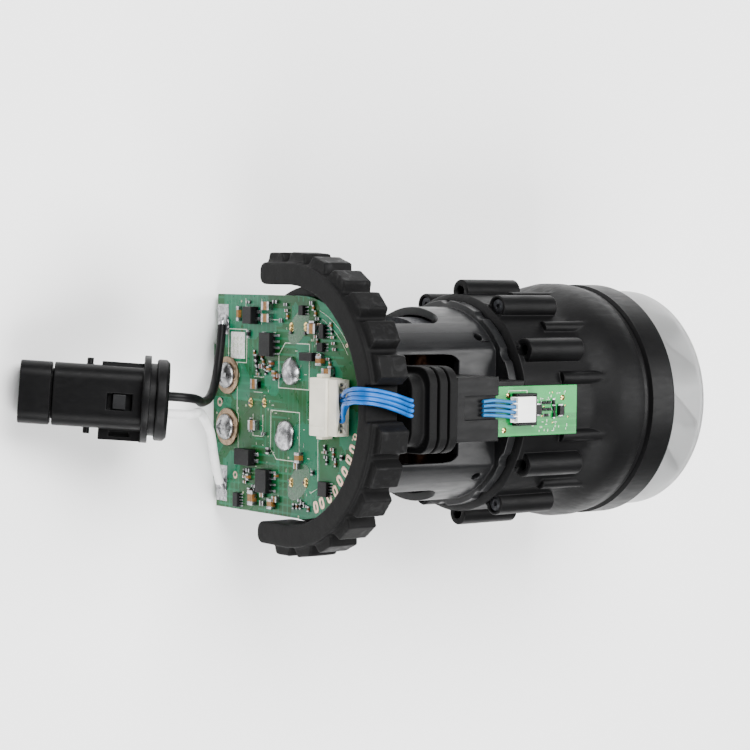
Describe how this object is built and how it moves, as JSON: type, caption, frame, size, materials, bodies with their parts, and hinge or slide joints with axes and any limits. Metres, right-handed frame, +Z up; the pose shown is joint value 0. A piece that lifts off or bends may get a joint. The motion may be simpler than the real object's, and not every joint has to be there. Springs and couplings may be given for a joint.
{
  "type": "vacuum fan motor module",
  "caption": "Compact fan motor with a round-topped control board, ribbed rubber mount, screw-bossed frame, frosted air inlet, wired sensor board and power plug.",
  "frame": {"origin": "on the motor axis, in the plane of the control board's outer face", "axes": "+X along the motor axis towards the air inlet, +Y across, +Z up through the wire notch of the rubber mount"},
  "size_m": [0.1475, 0.0621, 0.0627],
  "materials": {
    "frame_grey": "satin glass-filled plastic",
    "frame_black": "matt glass-filled plastic",
    "black_plastic": "satin moulded plastic",
    "soft_rubber": "matt",
    "seal_rubber": "satin",
    "clear_shroud": "frosted clear plastic",
    "board_green": "solder mask",
    "sensor_green": "solder mask",
    "chip_black": "matt moulding compound",
    "ceramic_tan": "satin ceramic",
    "sleeve_black": "shrink sleeve",
    "solder": "bright solder",
    "steel": "bright",
    "washer_copper": "plated",
    "cream_nylon": "satin",
    "white_nylon": "satin",
    "blue_sheath": "satin",
    "dark_blue_sheath": "satin",
    "black_sheath": "satin",
    "white_sheath": "satin",
    "contact_gold": "plated",
    "magnet": "nickel plated",
    "impeller_grey": "carbon-filled",
    "core_steel": "coated laminations",
    "copper": "enamelled wire"
  },
  "bodies": {
    "housing": {"motor_frame": "frame_grey", "front_frame": "frame_black", "diffuser": "frame_black", "front_seal": "seal_rubber", "inlet_shroud": "clear_shroud", "rear_mount": "soft_rubber", "board_carrier": "black_plastic", "control_board": "board_green", "terminal_screws": "steel", "terminal_washers": "washer_copper", "driver_chips": "chip_black", "logic_chips": "chip_black", "power_diodes": "chip_black", "ceramic_capacitors": "ceramic_tan", "bulk_capacitors": "sleeve_black", "coil_terminals": "solder", "board_header": "cream_nylon", "board_plug": "cream_nylon", "sensor_wire_1": "blue_sheath", "sensor_wire_2": "blue_sheath", "sensor_wire_3": "blue_sheath", "sensor_wire_4": "blue_sheath", "wire_grommet": "soft_rubber", "sensor_bracket": "black_plastic", "sensor_board": "sensor_green", "sensor_header": "chip_black", "sensor_plug": "white_nylon", "sensor_tails": "dark_blue_sheath", "sensor_chips": "chip_black", "black_lead": "black_sheath", "white_lead": "white_sheath", "plug_body": "black_plastic", "plug_cap": "black_plastic", "plug_gland": "soft_rubber", "plug_seal": "seal_rubber", "plug_contacts": "contact_gold", "plug_latch": "black_plastic", "rear_bearing": "steel", "front_bearing": "steel", "bearing_sleeve": "steel", "preload_spring": "steel", "sleeve_rings": "seal_rubber", "upper_core": "core_steel", "lower_core": "core_steel", "coil_formers": "black_plastic", "coils": "copper", "frame_screws": "core_steel"},
    "rotor": {"rotor_shaft": "steel", "rotor_magnet": "magnet", "impeller": "impeller_grey"}
  },
  "joints": [
    {"name": "rotor_spin", "type": "hinge", "parent": "housing", "child": "rotor", "pos_m": [0.05, 0, 0], "axis": [1, 0, 0], "continuous": true}
  ]
}
